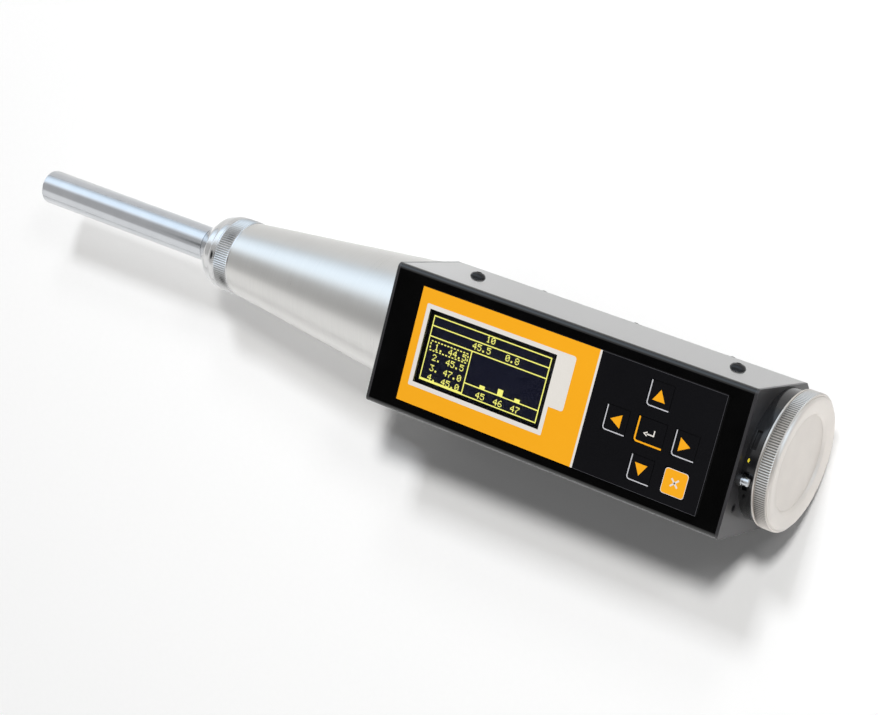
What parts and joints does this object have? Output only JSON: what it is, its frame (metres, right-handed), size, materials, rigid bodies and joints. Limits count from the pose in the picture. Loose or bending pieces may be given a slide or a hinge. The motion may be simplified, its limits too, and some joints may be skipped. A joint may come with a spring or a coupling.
{
  "type": "concrete test hammer",
  "caption": "Rebound hammer for testing concrete, with a sprung plunger in a tapered front casing and a square display housing with keys round its rear half.",
  "frame": {"origin": "middle of the flat back that the hammer lies on, under the display housing", "axes": "+X along the hammer, from the plunger to the end cap; -Z out of the flat back, so the display faces +Z"},
  "size_m": [0.3811, 0.0608, 0.0596],
  "materials": {
    "satin_aluminium": "satin, turned",
    "turned_aluminium": "turned",
    "ground_steel": "ground and hardened",
    "turned_steel": "turned",
    "spring_steel": "drawn wire",
    "sleeve_bronze": "turned bronze",
    "grey_felt": "felt",
    "black_enamel": "gloss black",
    "black_sheet": "semi-gloss black",
    "plate_grey": "satin",
    "black_screw": "black oxide",
    "membrane_orange": "printed film",
    "clear_window": "clear acrylic",
    "display_black": "dark display",
    "circuit_board": "solder mask",
    "brass_standoff": "turned",
    "switch_black": "moulded",
    "battery_wrap": "shrink film",
    "key_black": "printed film",
    "key_orange": "printed film"
  },
  "bodies": {
    "housing": {"front_casing": "satin_aluminium", "nose_cap": "satin_aluminium", "felt_seal": "grey_felt", "split_ring": "turned_steel", "guide_sleeve": "sleeve_bronze", "body_tube": "turned_aluminium", "rear_collar": "black_enamel", "end_cap": "satin_aluminium", "trip_screw": "turned_steel", "trip_locknut": "turned_steel", "return_spring": "spring_steel", "impact_spring": "spring_steel", "rider_rod": "turned_steel", "sensor_strip": "circuit_board", "front_cover": "black_sheet", "back_cover": "black_sheet", "nut_rails": "turned_steel", "back_screws": "black_screw", "front_plate": "plate_grey", "rear_plate": "plate_grey", "saddles": "turned_aluminium", "side_screws": "black_screw", "keypad_membrane": "membrane_orange", "display_window": "clear_window", "display_module": "display_black", "main_board": "circuit_board", "board_standoffs": "brass_standoff", "key_switches": "switch_black", "battery": "battery_wrap", "battery_clip": "switch_black", "button_bush": "switch_black", "power_switch": "turned_steel", "charge_socket": "switch_black"},
    "plunger": {"impact_plunger": "ground_steel", "retaining_spring": "spring_steel", "guide_bar": "ground_steel", "guide_disk": "turned_steel", "pawl_pin": "turned_steel", "pawl_spring": "spring_steel"},
    "hammer": {"hammer_mass": "turned_steel"},
    "pawl": {"pawl": "turned_steel"},
    "rider": {"rider": "switch_black"},
    "power_button": {"power_button": "ground_steel"},
    "key_up": {"key_up": "key_black"},
    "key_left": {"key_left": "key_black"},
    "key_enter": {"key_enter": "key_black"},
    "key_right": {"key_right": "key_black"},
    "key_down": {"key_down": "key_black"},
    "key_escape": {"key_escape": "key_orange"}
  },
  "joints": [
    {"name": "plunger_slide", "type": "slide", "parent": "housing", "child": "plunger", "axis": [1, 0, 0], "range_m": [0, 0.078], "stiffness_N_per_m": 150, "springref_m": -0.05, "deforming": ["return_spring", "impact_spring"]},
    {"name": "hammer_slide", "type": "slide", "parent": "plunger", "child": "hammer", "axis": [1, 0, 0], "range_m": [-0.075, 0], "deforming": ["impact_spring"]},
    {"name": "pawl_hinge", "type": "hinge", "parent": "plunger", "child": "pawl", "pos_m": [-0.003, 0.002, 0.0191], "axis": [0, -1, 0], "range_deg": [0, 10.5], "stiffness_Nm_per_rad": 0.02, "springref_deg": -17.19},
    {"name": "rider_slide", "type": "slide", "parent": "housing", "child": "rider", "axis": [1, 0, 0], "range_m": [0, 0.075]},
    {"name": "power_button_slide", "type": "slide", "parent": "housing", "child": "power_button", "axis": [-1, 0, 0], "range_m": [0, 0.001], "stiffness_N_per_m": 500, "springref_m": -0.001},
    {"name": "key_up_press", "type": "slide", "parent": "housing", "child": "key_up", "axis": [0, 0, -1], "range_m": [0, 0.00025], "stiffness_N_per_m": 2000, "springref_m": -0.0004},
    {"name": "key_left_press", "type": "slide", "parent": "housing", "child": "key_left", "axis": [0, 0, -1], "range_m": [0, 0.00025], "stiffness_N_per_m": 2000, "springref_m": -0.0004},
    {"name": "key_enter_press", "type": "slide", "parent": "housing", "child": "key_enter", "axis": [0, 0, -1], "range_m": [0, 0.00025], "stiffness_N_per_m": 2000, "springref_m": -0.0004},
    {"name": "key_right_press", "type": "slide", "parent": "housing", "child": "key_right", "axis": [0, 0, -1], "range_m": [0, 0.00025], "stiffness_N_per_m": 2000, "springref_m": -0.0004},
    {"name": "key_down_press", "type": "slide", "parent": "housing", "child": "key_down", "axis": [0, 0, -1], "range_m": [0, 0.00025], "stiffness_N_per_m": 2000, "springref_m": -0.0004},
    {"name": "key_escape_press", "type": "slide", "parent": "housing", "child": "key_escape", "axis": [0, 0, -1], "range_m": [0, 0.00025], "stiffness_N_per_m": 2000, "springref_m": -0.0004}
  ]
}
